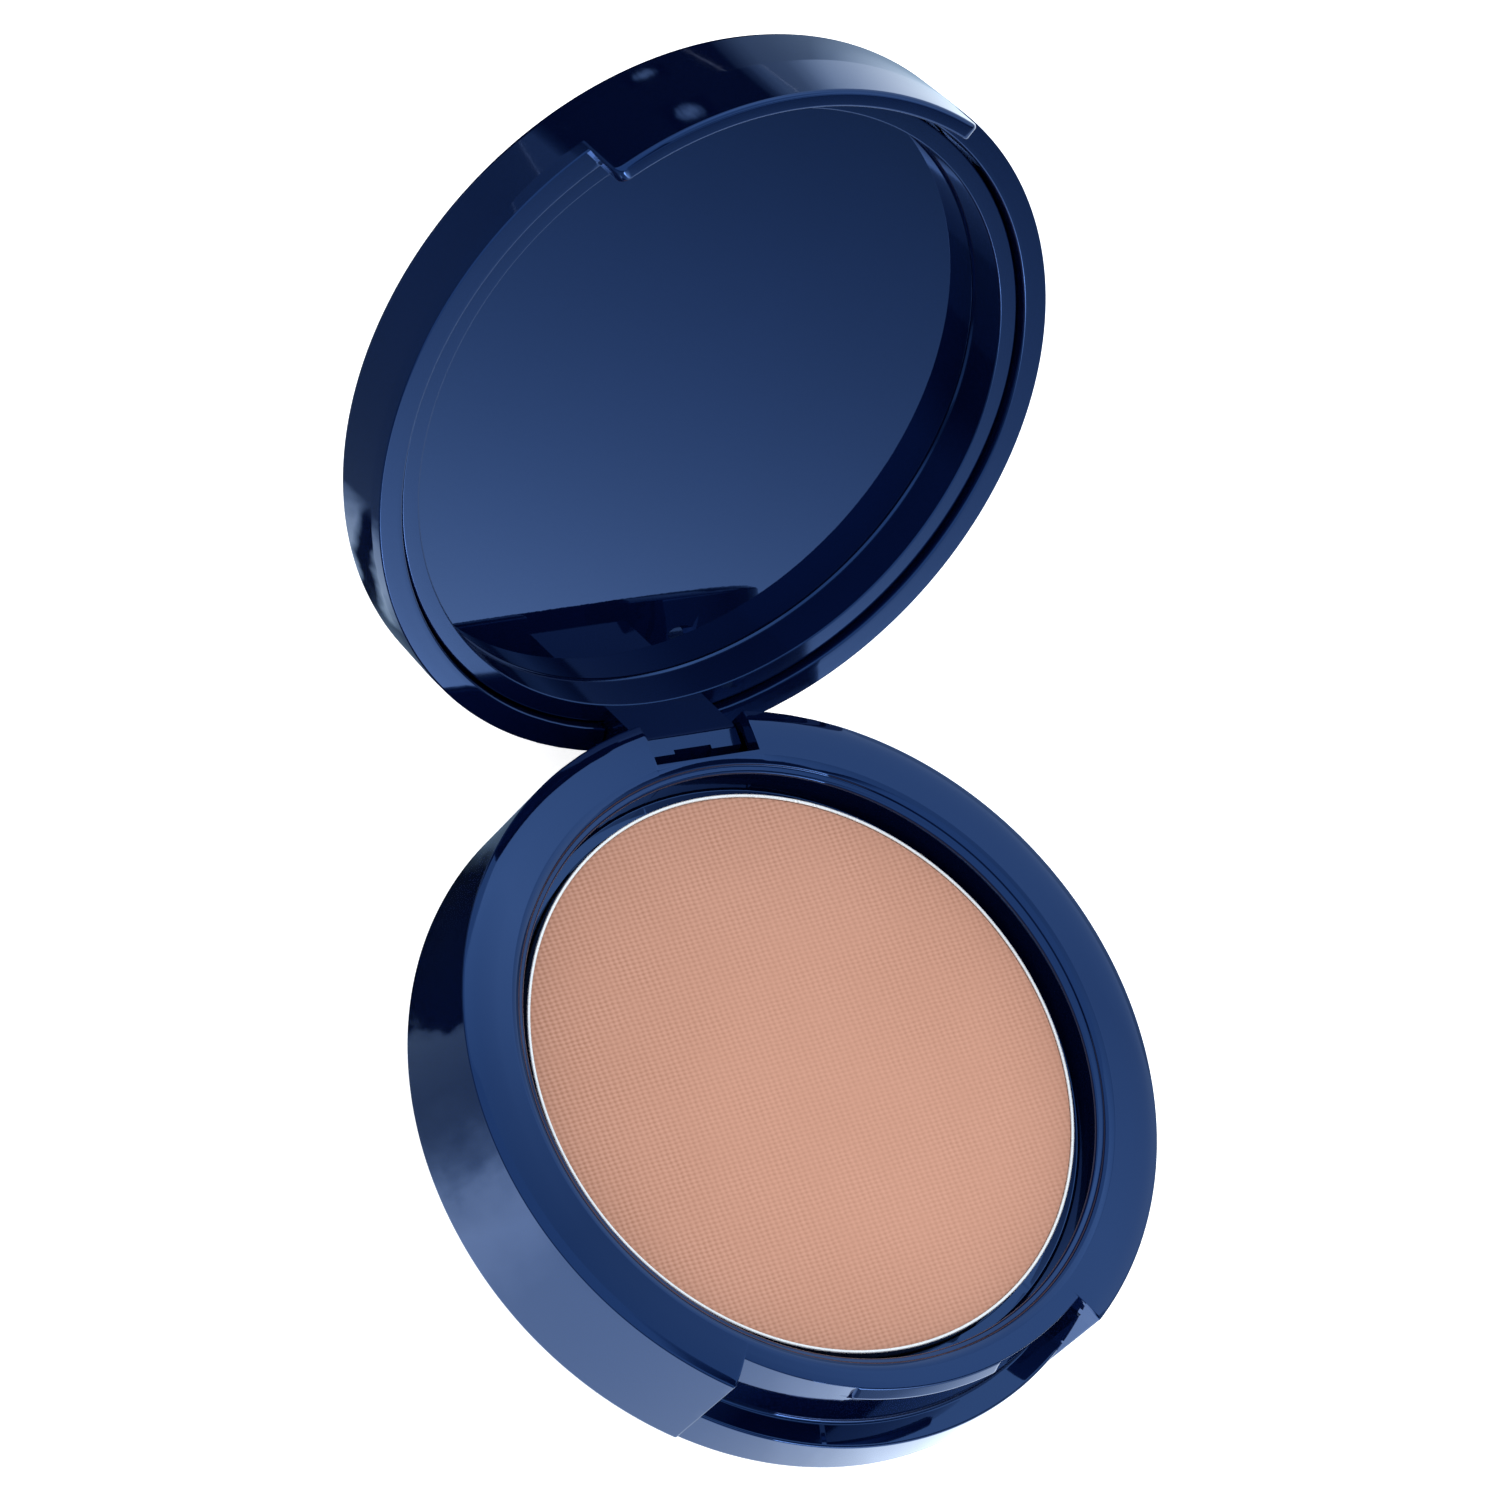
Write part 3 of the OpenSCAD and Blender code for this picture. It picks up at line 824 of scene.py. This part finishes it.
def upright_card(name, azimuth, elevation, distance, width, height, mat, target=(0, 0, 0.02)):
    """Card facing the target from a direction (degrees from +Y towards +X, then up)."""
    a, e = math.radians(azimuth), math.radians(elevation)
    away = Vector((math.sin(a) * math.cos(e), math.cos(a) * math.cos(e), math.sin(e)))
    corners = [(sx * width / 2, sy * height / 2, 0) for sx, sy in ((-1, -1), (1, -1), (1, 1), (-1, 1))]
    card = stage_mesh(name, corners, [(0, 1, 2, 3)], mat)
    facing = away.to_track_quat("Z", "Y").to_matrix().to_4x4()
    card.matrix_world = Matrix.Translation(Vector(target) + away * distance) @ facing
    reflected_only(card)


# The soft card that the mirror and the lid's rim look at fades upwards and to one side
mat, tree, strength = glow_material("front_card")
place = tree.nodes.new("ShaderNodeSeparateXYZ")
tree.links.new(tree.nodes.new("ShaderNodeTexCoord").outputs["Object"], place.inputs["Vector"])
sideways = math_node(tree, "MULTIPLY", place.outputs["X"], 8.9)
upwards = math_node(tree, "MULTIPLY", place.outputs["Y"], 17)
fade = math_node(tree, "ADD", sideways, upwards)
tree.links.new(math_node(tree, "EXPONENT", math_node(tree, "SUBTRACT", 0.11, fade)), strength)
upright_card("front_card", 148, 0, 0.4, 0.5, 0.2, mat, target=(0, 0, 0.057))

# The soft box that the deck looks at
mat, tree, strength = glow_material("top_card")
angle, _ = bearing(tree, tree.nodes.new("ShaderNodeTexCoord").outputs["Object"])
tree.links.new(
    levels(tree, angle, [
        (-180, 1.2), (-150, 1.05), (-106, 1.38), (-60, 1.3), (-30, 0.95), (5, 0.82), (33, 1.07), (49, 1.35),
        (70, 1.7), (92, 1.45), (114, 1.2), (180, 1.2)]),
    strength)
upright_card("top_card", 63, 53, 0.3, 0.5, 0.5, mat)

def soft_dot(name, target, azimuth, elevation, wide, high, power):
    """A small ragged light close by, seen as a blotch in the glossy wall at the target."""
    mat, tree, strength = glow_material(name)
    place = tree.nodes.new("ShaderNodeSeparateXYZ")
    tree.links.new(tree.nodes.new("ShaderNodeTexCoord").outputs["Object"], place.inputs["Vector"])
    x = math_node(tree, "DIVIDE", place.outputs["X"], wide * MM)
    y = math_node(tree, "DIVIDE", place.outputs["Y"], high * MM)
    out = math_node(tree, "ADD", math_node(tree, "MULTIPLY", x, x), math_node(tree, "MULTIPLY", y, y))
    out = math_node(tree, "ADD", out, map_range(tree, noise(tree, 900, 4, 0.6), -0.7, 0.7))
    inside = math_node(tree, "MAXIMUM", math_node(tree, "SUBTRACT", 1.0, out), 0.0)
    tree.links.new(math_node(tree, "MULTIPLY", inside, power), strength)
    upright_card(name, azimuth, elevation, 0.05, 3 * wide * MM, 3 * high * MM, mat, Vector(target) * MM)


soft_dot("upper_dot", (-11.7, 85.7, 61.5), 10, 3, 3.8, 0.65, 1.0)
soft_dot("lower_dot", (-11.8, 78.5, 66.8), 9, 8, 4.4, 1.2, 1.0)

# Daylight all round, with a dark band along the horizon behind the case
world = bpy.data.worlds.new("studio")
bpy.context.scene.world = world
world.use_nodes = True
wt = world.node_tree
background = wt.nodes["Background"]
ray = wt.nodes.new("ShaderNodeLightPath")
direction = wt.nodes.new("ShaderNodeTexCoord").outputs["Generated"]
angle, parts = bearing(wt, direction)
climb = math_node(wt, "MULTIPLY", math_node(wt, "ARCSINE", parts["Z"]), 180 / math.pi)
horizon = levels(wt, ragged(wt, direction, angle, 6, 7), [
    (-180, 0.1), (-70, 0.15), (-13.2, 0.25), (-12.4, 0.01), (26, 0.01), (28, 0.4), (60, 0.6), (100, 0.1),
    (180, 0.1),
])


flag = math_node(wt, "MULTIPLY", levels(wt, angle, [(-180, 0), (85, 0), (100, 1), (165, 1), (180, 0)]),
                 levels(wt, climb, [(-90, 0), (25, 0), (38, 1), (70, 1), (85, 0), (90, 0)]))
sky = math_node(wt, "SUBTRACT", 0.7, math_node(wt, "MULTIPLY", flag, 0.66))
glossy = mix_values(wt, levels(wt, climb, [(-90, 0), (11, 0), (24, 1), (90, 1)]), horizon, sky)
is_glossy = ray.outputs["Is Glossy Ray"]
seen_in_gloss = math_node(wt, "MULTIPLY", glossy, LIGHT)
wt.links.new(mix_values(wt, is_glossy, LIGHT, seen_in_gloss), background.inputs["Strength"])
plain = wt.nodes.new("ShaderNodeMix")
plain.data_type = "RGBA"
wt.links.new(is_glossy, plain.inputs["Factor"])
plain.inputs["A"].default_value = (1, 1, 1, 1)
wt.links.new(toned(wt, glossy), plain.inputs["B"])
wt.links.new(plain.outputs["Result"], background.inputs["Color"])

scene = bpy.context.scene
scene.view_settings.view_transform = "Standard"
scene.view_settings.look = "None"

# ---------------------------------------------------------------- camera
AIM = Vector((-1.607, 29.137, 23.86)) * MM
DISTANCE = 1168.65 * MM
AZIMUTH, ELEVATION, ROLL = -60.816, 52.691, 46.207
az, el = math.radians(AZIMUTH), math.radians(ELEVATION)
back = Vector((math.sin(az) * math.cos(el), -math.cos(az) * math.cos(el), math.sin(el)))
camera = bpy.data.objects.new("camera", bpy.data.cameras.new("camera"))
scene.collection.objects.link(camera)
camera.data.sensor_width = 36
camera.data.lens = 288
camera.data.clip_start = 0.05
camera.data.clip_end = 20
level = (-back).to_track_quat("-Z", "Y").to_matrix().to_4x4()
roll = Matrix.Rotation(math.radians(ROLL), 4, "Z")
camera.matrix_world = Matrix.Translation(AIM + back * DISTANCE) @ level @ roll
scene.camera = camera

bpy.context.view_layer.update()
